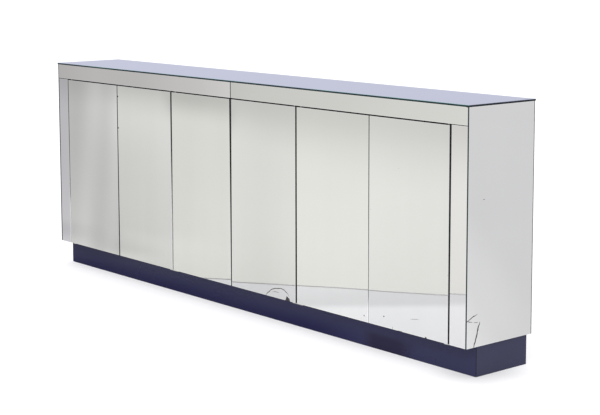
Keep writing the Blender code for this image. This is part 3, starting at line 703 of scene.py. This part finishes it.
def chip(outline, outward, depth, seed):
    """A ragged plug of glass, wide at the face."""
    chance = random.Random(seed)
    outward = Vector(outward)
    outline = [Vector(point) for point in outline]
    middle = sum(outline, Vector()) / len(outline)
    form = bmesh.new()
    ragged = []
    for start, end in zip(outline, outline[1:] + outline[:1]):
        for step in range(CHIP_STEPS):
            out = start.lerp(end, step / CHIP_STEPS) - middle
            ragged.append(middle + out * (1 + chance.uniform(-CHIP_RAGGED, CHIP_RAGGED)))
    top = [form.verts.new(point + outward * CUTTER_ABOVE_FACE) for point in ragged]
    narrowed = [middle + (point - middle) * CHIP_NARROWED for point in ragged]
    bottom = [form.verts.new(point - outward * depth) for point in narrowed]
    form.faces.new(top)
    form.faces.new(bottom)
    for i in range(len(top)):
        j = (i + 1) % len(top)
        form.faces.new((top[i], bottom[i], bottom[j], top[j]))
    bmesh.ops.recalc_face_normals(form, faces=form.faces)
    return form


def broken_mesh(mesh, cuts):
    """Cuts cracks and chips into a pane's mesh."""
    mesh.materials.append(BROKEN_GLASS)
    body = put_in_scene("pane_to_cut", mesh)
    for form in cuts:
        cutter_mesh = bpy.data.meshes.new("cutter")
        form.to_mesh(cutter_mesh)
        form.free()
        cutter_mesh.materials.append(BROKEN_GLASS)
        cutter = put_in_scene("cutter", cutter_mesh)
        cut = body.modifiers.new("cut", "BOOLEAN")
        cut.solver = "EXACT"
        cut.operation = "DIFFERENCE"
        cut.material_mode = "TRANSFER"
        cut.object = cutter
        graph = bpy.context.evaluated_depsgraph_get()
        body.data = bpy.data.meshes.new_from_object(body.evaluated_get(graph))
        body.modifiers.clear()
        bpy.data.objects.remove(cutter)
    result = body.data
    bpy.data.objects.remove(body)
    return result


# Top mirror
# One sheet of silvered glass laid over the whole case and stuck down, as thick as quarter-inch plate.
# Its edge is sea green in patches along the front, and blue-black at the ends.
def top_tint(tree, colour):
    patches = fade(tree, mottle(tree, 1.0, 1.0, stretch=(1.4, 0.0, 0.0)), 0.42, 0.56)
    on_long_edge = calc(tree, "GREATER_THAN", calc(tree, "ABSOLUTE", facing(tree)[1]), 0.5)
    tint = blend_colour(tree, patches, (0.90, 1.10, 1.36), (0.86, 1.45, 1.45))
    tint = blend_colour(tree, on_long_edge, (0.50, 0.52, 0.74), tint)
    return blend_colour(tree, 1.0, colour, tint, "MULTIPLY")


pane(
    "top_mirror", "cabinet", (0, 0, 1), (0.69, 0.694, 0.697), arris=0.0009, slot="top_mirror",
    finishes=tinted_finishes("top", top_tint),
)


# Header and stile mirrors
# Strips of thinner silvered glass stuck to the header rail, in two lengths, and to the stile boards.
# The right header has lost a corner. The left stile's silver is darkened along its outer edge, a painted
# shade, and its right arris and cut edge grow lighter towards the foot, a painted highlight.
FRONT = (0, -1, 0)
SILVERED = (0.668, 0.668, 0.658)
front_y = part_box("door_1_mirror")[0].y


def on_front(*places):
    """Places in millimetres, across and up, as points on the front."""
    return [(x / 1000, front_y, z / 1000) for x, z in places]


def tinted(red, green, blue):
    return tuple(base * share for base, share in zip(SILVERED, (red, green, blue)))


def lit_edge_tint(*stages):
    """A pane's right edge, painted lighter as a painted highlight: from one height to another, and how
    bright, stage by stage.
    """
    def tint(tree, colour):
        height = axes_of(tree, place(tree))[2]
        on_right = calc(tree, "GREATER_THAN", facing(tree)[0], 0.3)
        for start, end, bright in stages:
            wipes_and_highlight = times(tree, fade(tree, height, start, end), on_right)
            colour = blend_colour(tree, wipes_and_highlight, colour, (bright, bright + 0.01, bright + 0.02))
        return colour

    return tint


lost_corner = chip(on_front((1201, 888), (1221, 888), (1221, 876), (1206, 878)), FRONT, 0.002, 11)
# Painted highlight: the left stile's right arris and cut edge grow lighter towards the foot.
left_stile_finishes = tinted_finishes("left_stile", lit_edge_tint((0.62, 0.34, 0.30), (0.34, 0.26, 0.90)))
pane("left_header_mirror", "cabinet", FRONT, tinted(0.928, 0.909, 0.936), wash=((0.89, 0.89), (1.18, 1.18)))
pane(
    "right_header_mirror", "cabinet", FRONT, tinted(1.06, 1.06, 1.05), cuts=(lost_corner,),
    short=((0.003, 0.003), (0, 0)), wash=((0.91, 0.91), (1.08, 1.08)),
)
pane(
    "left_stile_mirror", "cabinet", FRONT, tinted(0.85, 0.835, 0.91), drop=0.0014,
    wash=((1.21, 0.89), (1.21, 0.89)), far_edge_shade=(0.003, 0, 0), finishes=left_stile_finishes,
)
pane(
    "right_stile_mirror", "cabinet", FRONT, tinted(0.99, 0.98, 0.985), lean=(0, 0, 0.004),
    short=((0.0012, 0.0020), (0, 0)), drop=0.0011, wash=((1, 1.07), (1, 1.07)),
)


# End mirrors
# A pane of silvered glass stuck to each side panel. The right one has cracks that run in from a knock
# low on its front edge and down to its foot, and a nick higher up.
RIGHT = (1, 0, 0)
end_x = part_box("right_end_mirror")[1].x


def on_right_end(*places):
    """Places in millimetres, towards the back and up, as points on the right end."""
    return [(end_x, y / 1000, z / 1000) for y, z in places]


upper_crack = ((-158, 190), (-149.7, 194.7), (-129.9, 203.5), (-106.7, 210.6))
long_crack = (
    (-95.9, 183.3), (-96.3, 176.4), (-102.2, 168.2), (-107.4, 147.4), (-111.9, 133.1), (-120.8, 109.4),
    (-124, 98),
)
end_damage = (
    crack(on_right_end(*upper_crack), 0.0036, 0.0014, RIGHT, 21),
    crack(on_right_end((-158, 193.5), (-149.6, 192.1), (-131.0, 186.7)), 0.0036, 0.0014, RIGHT, 22),
    crack(on_right_end((-123.1, 185.4), (-104.8, 183.1)), 0.0032, 0.0012, RIGHT, 23),
    crack(on_right_end(*long_crack), 0.0048, 0.0020, RIGHT, 24),
    chip(on_right_end((-87, 578), (-79, 578.5), (-79.5, 580.5), (-86.5, 580)), RIGHT, 0.0006, 25),
)
pane("left_end_mirror", "cabinet", (-1, 0, 0), tinted(0.98, 0.99, 1.0))
# The right pane's silver is darkened along its back edge: painted shade.
pane(
    "right_end_mirror", "cabinet", RIGHT, tinted(1.0, 0.995, 0.98), cuts=end_damage,
    short=((0.0006, 0.0006), (0, 0)), wash=((0.93, 0.975), (0.93, 0.975)), far_edge_shade=(0, 0.0045, 0),
)


# Door mirrors
# Six panes of silvered glass stuck to the door boards, without handles. Each has its own tone and lean, and
# painted
# reflection: soft bands, a wash, and on the first and fourth the bright crests of a bow. The fourth has lost
# a shell of glass at its foot, and the second, fifth and sixth are chipped.
shell_edge = (
    (206, 98), (212.3, 109.6), (238, 129.1), (258.9, 137.2), (295.1, 143), (313.3, 139.8), (331.4, 129.9),
    (340, 120),
)
shell = ((326.2, 120.4), (342, 113.4), (348, 98), (316, 98), (321, 108))
door_2_chips = (
    chip(on_front((-758.5, 768.5), (-752.5, 768.5), (-752.5, 774.5), (-758.5, 774.5)), FRONT, 0.0014, 61),
    chip(on_front((-758, 638), (-752, 638), (-752, 644), (-758, 644)), FRONT, 0.0014, 62),
)
door_4_damage = (
    crack(on_front(*shell_edge), 0.0030, 0.0014, FRONT, 31),
    crack(on_front((245.5, 122.9), (262, 125.2), (284.1, 125.8)), 0.0018, 0.0012, FRONT, 32),
    chip(on_front(*shell), FRONT, 0.007, 33),
)
door_5_chips = (chip(on_front((737, 127), (743, 126), (742, 121.5), (738, 122)), FRONT, 0.0006, 41),)
door_6_damage = (
    chip(on_front((834, 142), (841, 142.5), (840, 137.5), (835, 138)), FRONT, 0.0006, 51),
    crack(on_front((963.1, 153), (985, 157.5), (1007.9, 161.4)), 0.0014, 0.0010, FRONT, 52),
    crack(on_front((880.1, 112), (880.1, 98)), 0.0022, 0.0015, FRONT, 53),
    chip(on_front((905, 104.5), (925, 105), (926, 98), (903, 98)), FRONT, 0.002, 54),
    chip(on_front((1033, 108), (1041, 107), (1042, 98), (1032, 98)), FRONT, 0.002, 55),
    chip(on_front((904, 651.3), (906, 651.3), (906, 652.7), (904, 652.7)), FRONT, 0.0006, 56),
    chip(on_front((770, 497), (772.5, 497), (772.5, 499), (770, 499)), FRONT, 0.0006, 57),
)
doors = {
    1: dict(
        silver=tinted(0.875, 0.873, 0.89), reflection_banding=0.04, lean=(0, 0, 0.004), bow_sheen=(0.05, 0.10, 0.196, 0.225),
        short=((0, 0), (0.0016, 0.0004)), wash=((1.24, 0.84), (0.93, 1.145)),
    ),
    2: dict(
        silver=tinted(0.96, 0.96, 0.96), reflection_banding=0.07, lean=(0, 0, 0.006), cuts=door_2_chips,
        short=((0.0016, 0.0004), (0, 0.0007)), wash=((0.965, 1.03), (0.965, 1.03)),
        finishes=tinted_finishes("door_2", lit_edge_tint((0.66, 0.26, 0.74))),
    ),
    3: dict(
        silver=tinted(0.97, 0.97, 0.955), reflection_banding=0.04, lean=(0, 0, 0.014),
        short=((0, 0.0007), (0.0005, 0.0040)), wash=((1.05, 0.98), (1.05, 0.98)),
    ),
    4: dict(
        silver=tinted(0.965, 0.965, 0.96), reflection_banding=0.04, cuts=door_4_damage,
        short=((0.0005, 0.0040), (0, 0)), wash=((0.995, 0.995), (0.995, 0.995)), bow_sheen=(0.02, 0.0, 0.0, 0.375),
    ),
    5: dict(
        silver=tinted(1.08, 1.08, 1.065), reflection_banding=0.035, lean=(0, 0, 0.001), cuts=door_5_chips,
        short=((0, 0), (-0.0007, -0.0002)), wash=((0.992, 0.955), (0.992, 0.955)),
        finishes=tinted_finishes("door_5", lit_edge_tint((0.55, 0.25, 0.36), (0.20, 0.16, 0.90))),
    ),
    6: dict(
        silver=tinted(1.05, 1.05, 1.045), reflection_banding=0.035, lean=(0.001, 0, 0.0), cuts=door_6_damage,
        short=((-0.0007, -0.0002), (0.0012, 0.0020)), wash=((0.970, 1.015), (0.935, 0.990)),
    ),
}
for number, looks in doors.items():
    pane(f"door_{number}_mirror", f"door_{number}", FRONT, **looks)


# Doors
# Plywood boards behind the door mirrors, bored top and bottom for the pivot pins.
# The edges are painted dark brown and the inside face shows its upright grain.
for number in doors:
    finish(f"door_{number}_core", upright_face_ply)


# Pivot plates
# Zinc-plated steel plates that carry the doors' pins, with countersunk holes for their screws. The
# upper ones are let into the header rail's underside, the lower ones screwed up under the case.
zinc = speckled(
    "zinc_plated_steel", (90.0, 3.0, EVENLY), (0.50, 0.49, 0.45), (0.68, 0.67, 0.64), (0.25, 0.22),
    (900.0, 1.0, 0.00001), metallic=1.0,
)
for number in range(1, 5):
    finish(f"upper_pivot_plate_{number}", zinc)
    finish(f"lower_pivot_plate_{number}", zinc)


# Push latches
# Brown moulded housings hung behind the header rail, their sprung plungers, and the round steel
# strikes, let into the backs of the doors, that the plungers bear on.
plastic = speckled(
    "brown_moulded_plastic", (45.0, 3.0, EVENLY), (0.050, 0.030, 0.020), (0.085, 0.052, 0.035),
    (0.15, 0.35), (1500.0, 1.0, 0.00002),
)

TURNED_SIDES, SHARP_FROM = 36, math.radians(35)


def turned(name, profile, start, material):
    """Turns a profile of (radius, distance) round the line through start along Y."""
    form = bmesh.new()
    rings = []
    for radius, distance in profile:
        ring = []
        for side in range(TURNED_SIDES if radius else 1):
            angle = 2 * math.pi * side / TURNED_SIDES
            around = Vector((radius * math.cos(angle), distance, -radius * math.sin(angle)))
            ring.append(form.verts.new(around + Vector(start)))
        rings.append(ring)
    for first, second in zip(rings, rings[1:]):
        for side in range(TURNED_SIDES):
            corners = [first[side % len(first)], first[(side + 1) % len(first)]]
            corners += [second[(side + 1) % len(second)], second[side % len(second)]]
            form.faces.new(list(dict.fromkeys(corners)))
    bmesh.ops.recalc_face_normals(form, faces=form.faces)
    mesh = bpy.data.meshes.new(name)
    form.to_mesh(mesh)
    form.free()
    mesh.shade_smooth()
    mesh.set_sharp_from_angle(angle=SHARP_FROM)
    mesh.materials.append(material)
    return mesh


TIP_RADIUS, TIP_LENGTH, ROD_RADIUS, PLUNGER_LENGTH = 0.0055, 0.003, 0.004, 0.030
# A rounded nose with the dimple where the mould was filled, then the rod that slides in its bore.
PLUNGER_PROFILE = (
    (0, 0.0003), (0.0008, 0.0003), (0.0012, 0.0001), (0.0030, 0.0), (0.0044, 0.0001), (0.0051, 0.0004),
    (0.00542, 0.0009), (TIP_RADIUS, 0.0015), (TIP_RADIUS, 0.0027), (0.0053, TIP_LENGTH),
    (ROD_RADIUS, TIP_LENGTH), (ROD_RADIUS, 0.0296), (0.0036, PLUNGER_LENGTH), (0, PLUNGER_LENGTH),
)
STRIKE_RADIUS, STRIKE_THICKNESS, DISH_RADIUS, DISH_DEPTH = 0.009, 0.0015, 0.0033, 0.0011
# A disc with an eased rim, dished in the middle for its screw.
STRIKE_PROFILE = (
    (0, DISH_DEPTH), (0.0017, DISH_DEPTH), (DISH_RADIUS, 0.0001), (0.0035, 0.0), (0.0085, 0.0),
    (0.00885, 0.00015), (STRIKE_RADIUS, 0.0005), (STRIKE_RADIUS, STRIKE_THICKNESS), (0, STRIKE_THICKNESS),
)

for number in (1, 2, 3):
    finish(f"latch_{number}_housing", plastic)
strike_faces = {}
for number in doors:
    low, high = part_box(f"plunger_{number}")
    middle = (low + high) / 2
    plunger = turned(f"plunger_{number}_turned", PLUNGER_PROFILE, (middle.x, low.y, middle.z), plastic)
    piece = part_from(plunger, f"plunger_{number}_turned", f"plunger_{number}")
    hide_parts(f"plunger_{number}")
    low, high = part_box(f"door_{number}_strike")
    strike_faces[number] = Vector((middle.x, high.y, middle.z))
    profile = [(radius, -distance) for radius, distance in STRIKE_PROFILE]
    strike = turned(f"door_{number}_strike_turned", profile, strike_faces[number], zinc)
    piece = part_from(strike, f"door_{number}_strike_turned", f"door_{number}")
    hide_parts(f"door_{number}_strike")


# Screws
# Zinc-plated steel screws with a cross recess. Countersunk ones go up through the pivot plates and
# into the doors through the strikes, and pan-headed ones hang the latches by their slots.
COUNTERSUNK = {
    "Head radius": 0.0033, "Head height": 0.0017, "Shank radius": 0.0017,
    "Recess length": 0.0036, "Recess width": 0.0009, "Recess depth": 0.0012,
}
PAN_HEADED = {
    "Head radius": 0.0034, "Head height": 0.0020, "Shank radius": 0.0016,
    "Recess length": 0.0038, "Recess width": 0.0010, "Recess depth": 0.0013,
}
HEAD_SEGMENTS = 28


def sized_tree(name, sizes):
    """A geometry tree with one geometry in, named sizes, and one geometry out."""
    tree = bpy.data.node_groups.new(name, "GeometryNodeTree")
    tree.interface.new_socket("Seeds", in_out="INPUT", socket_type="NodeSocketGeometry")
    for label in sizes:
        tree.interface.new_socket(label, in_out="INPUT", socket_type="NodeSocketFloat")
    tree.interface.new_socket("Result", in_out="OUTPUT", socket_type="NodeSocketGeometry")
    return tree, tree.nodes.new("NodeGroupInput").outputs


def place_copies(tree, points, copy, rotation):
    """Puts a zinc-plated copy on every point, and ends the tree."""
    inputs = {"Points": points, "Instance": copy, "Rotation": rotation}
    copies = node_in(tree, "GeometryNodeInstanceOnPoints", inputs)
    real = node_in(tree, "GeometryNodeRealizeInstances", {"Geometry": copies.outputs[0]})
    dressed = node_in(tree, "GeometryNodeSetMaterial", {"Geometry": real.outputs[0], "Material": zinc})
    node_in(tree, "NodeGroupOutput", {"Result": dressed.outputs[0]})


def xyz(tree, x, y, z):
    return node_in(tree, "ShaderNodeCombineXYZ", {"X": x, "Y": y, "Z": z}).outputs[0]


def transformed(tree, geometry, **change):
    return node_in(tree, "GeometryNodeTransform", {"Geometry": geometry, **change}).outputs[0]


def smooth_ball(tree, segments):
    inputs = {"Segments": segments, "Rings": segments // 2, "Radius": 1.0}
    ball = node_in(tree, "GeometryNodeMeshUVSphere", inputs)
    return node_in(tree, "GeometryNodeSetShadeSmooth", {"Geometry": ball.outputs[0]}).outputs[0]


def screw_tree(name, domed):
    tree, given = sized_tree(name, (*COUNTERSUNK, "Tilt"))
    radius, height, shank = given["Head radius"], given["Head height"], given["Shank radius"]
    if domed:
        head = transformed(tree, smooth_ball(tree, HEAD_SEGMENTS), Scale=xyz(tree, radius, radius, height))
        crown = height
    else:
        taper = {"Vertices": HEAD_SEGMENTS, "Radius Top": radius, "Radius Bottom": shank, "Depth": height}
        cone = node_in(tree, "GeometryNodeMeshCone", taper)
        sunk = xyz(tree, 0.0, 0.0, times(tree, height, -1.0))
        head = transformed(tree, cone.outputs[0], Translation=sunk)
        crown = 0.0
    deep = times(tree, given["Recess depth"], 2.0)
    cut = node_in(tree, "GeometryNodeMeshBoolean", {"Mesh 1": head}, operation="DIFFERENCE", solver="EXACT")
    arms = (given["Recess length"], given["Recess width"])
    for length, width in (arms, arms[::-1]):
        arm = node_in(tree, "GeometryNodeMeshCube", {"Size": xyz(tree, length, width, deep)})
        raised = transformed(tree, arm.outputs[0], Translation=xyz(tree, 0.0, 0.0, crown))
        tree.links.new(raised, cut.inputs["Mesh 2"])
    # Each screw stops at its own angle, then lies along the line it was driven on.
    angle = node_in(tree, "FunctionNodeRandomValue", {3: math.pi, "Seed": 7})
    spun = node_in(tree, "FunctionNodeAxisAngleToRotation", {"Axis": (0, 0, 1), "Angle": angle.outputs[1]})
    tilt = node_in(tree, "FunctionNodeAxisAngleToRotation", {"Axis": (1, 0, 0), "Angle": given["Tilt"]})
    turns = {"Rotation": tilt.outputs[0], "Rotate By": spun.outputs[0]}
    stopped = node_in(tree, "FunctionNodeRotateRotation", turns, rotation_space="LOCAL")
    place_copies(tree, given["Seeds"], cut.outputs["Mesh"], stopped.outputs[0])
    return tree


def grown(name, points, lines, tree, sizes):
    """Runs a geometry tree over points and lines, and returns the result as a plain mesh."""
    seeds = bpy.data.meshes.new(name)
    seeds.from_pydata(points, lines, [])
    holder = put_in_scene(name, seeds)
    modifier = holder.modifiers.new("grow", "NODES")
    modifier.node_group = tree
    for item in tree.interface.items_tree:
        if item.name in sizes:
            modifier[item.identifier] = sizes[item.name]
    graph = bpy.context.evaluated_depsgraph_get()
    mesh = bpy.data.meshes.new_from_object(holder.evaluated_get(graph))
    holder.modifiers.remove(modifier)
    bpy.data.objects.remove(holder)
    return mesh


FACING_DOWN, FACING_BACK = math.pi, -math.pi / 2
PIN_TO_NEAR_SCREW, PIN_TO_FAR_SCREW, UPPER_SCREW_Y = 0.0165, 0.0295, -0.1442
PIN_TO_LOWER_SCREW, LOWER_SCREW_Y = 0.0065, -0.11795
PIVOT_FROM_DOOR_EDGE, SUNK = 0.014, 0.00005

header_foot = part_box("header_rail")[0].z
plate_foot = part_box("lower_pivot_plate_1")[0].z
plate_screws = []
for number in doors:
    low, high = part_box(f"door_{number}_core")
    is_left = number % 2 == 1
    pin_x = low.x + PIVOT_FROM_DOOR_EDGE if is_left else high.x - PIVOT_FROM_DOOR_EDGE
    for reach in (PIN_TO_NEAR_SCREW, PIN_TO_FAR_SCREW):
        plate_screws.append((pin_x + (reach if is_left else -reach), UPPER_SCREW_Y, header_foot + SUNK))
    for reach in (-PIN_TO_LOWER_SCREW, PIN_TO_LOWER_SCREW):
        plate_screws.append((pin_x + reach, LOWER_SCREW_Y, plate_foot + SUNK))
countersunk = screw_tree("countersunk_screw", domed=False)
screws = grown("pivot_plate_screws", plate_screws, [], countersunk, {**COUNTERSUNK, "Tilt": FACING_DOWN})
part_from(screws, "pivot_plate_screws", "cabinet")

STRIKE_SCREW = {
    **COUNTERSUNK, "Head radius": 0.0031, "Head height": 0.0010, "Recess depth": 0.0008, "Tilt": FACING_BACK,
}
for number, face in strike_faces.items():
    screws = grown(f"strike_{number}_screw", [face - Vector((0, SUNK, 0))], [], countersunk, STRIKE_SCREW)
    part_from(screws, f"strike_{number}_screw", f"door_{number}")

LATCH_SCREW_SPREAD, LATCH_SCREW_BELOW_TOP, LATCH_FLANGE_THICKNESS = 0.019, 0.008, 0.002
latch_screws = []
for number in (1, 2, 3):
    low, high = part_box(f"latch_{number}_housing")
    for side in (-1, 1):
        x = (low.x + high.x) / 2 + side * LATCH_SCREW_SPREAD
        latch_screws.append((x, low.y + LATCH_FLANGE_THICKNESS, high.z - LATCH_SCREW_BELOW_TOP))
pan_headed = screw_tree("pan_head_screw", domed=True)
screws = grown("latch_screws", latch_screws, [], pan_headed, {**PAN_HEADED, "Tilt": FACING_BACK})
part_from(screws, "latch_screws", "cabinet")


# Panel pins
# Steel pins that hold the back panel in its rebate and to the partitions and shelves behind it.
# They are hammered in along pencilled lines, a hand's width apart.
PIN_SIZES = {"Spacing": 0.115, "Head radius": 0.0016, "Head height": 0.0005}
PIN_SEGMENTS = 12


def pin_tree():
    tree, given = sized_tree("panel_pins", PIN_SIZES)
    lines = node_in(tree, "GeometryNodeMeshToCurve", {"Mesh": given["Seeds"]})
    spaced = {"Curve": lines.outputs[0], "Length": given["Spacing"]}
    spots = node_in(tree, "GeometryNodeResampleCurve", spaced, mode="LENGTH")
    flattened = xyz(tree, given["Head radius"], given["Head height"], given["Head radius"])
    head = transformed(tree, smooth_ball(tree, PIN_SEGMENTS), Scale=flattened)
    place_copies(tree, spots.outputs[0], head, (0, 0, 0))
    return tree


PIN_FROM_EDGE, CORNER_GAP = 0.007, 0.05
panel_low, panel_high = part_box("back_panel")
left_x, right_x = panel_low.x + PIN_FROM_EDGE, panel_high.x - PIN_FROM_EDGE
foot_z, head_z = panel_low.z + PIN_FROM_EDGE, panel_high.z - PIN_FROM_EDGE
nailing = [((left_x, foot_z), (right_x, foot_z)), ((left_x, head_z), (right_x, head_z))]
uprights = [left_x, right_x]
for node in ("partition_1", "partition_2"):
    low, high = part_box(node)
    uprights.append((low.x + high.x) / 2)
for x in uprights:
    nailing.append(((x, foot_z + CORNER_GAP), (x, head_z - CORNER_GAP)))
for node in ("shelf_1", "shelf_2", "shelf_3"):
    low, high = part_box(node)
    shelf_z = (low.z + high.z) / 2
    nailing.append(((low.x + CORNER_GAP, shelf_z), (high.x - CORNER_GAP, shelf_z)))
pin_points = [(x, panel_high.y, z) for line in nailing for x, z in line]
pin_lines = [(2 * index, 2 * index + 1) for index in range(len(nailing))]
pins = grown("panel_pins", pin_points, pin_lines, pin_tree(), PIN_SIZES)
part_from(pins, "panel_pins", "cabinet")
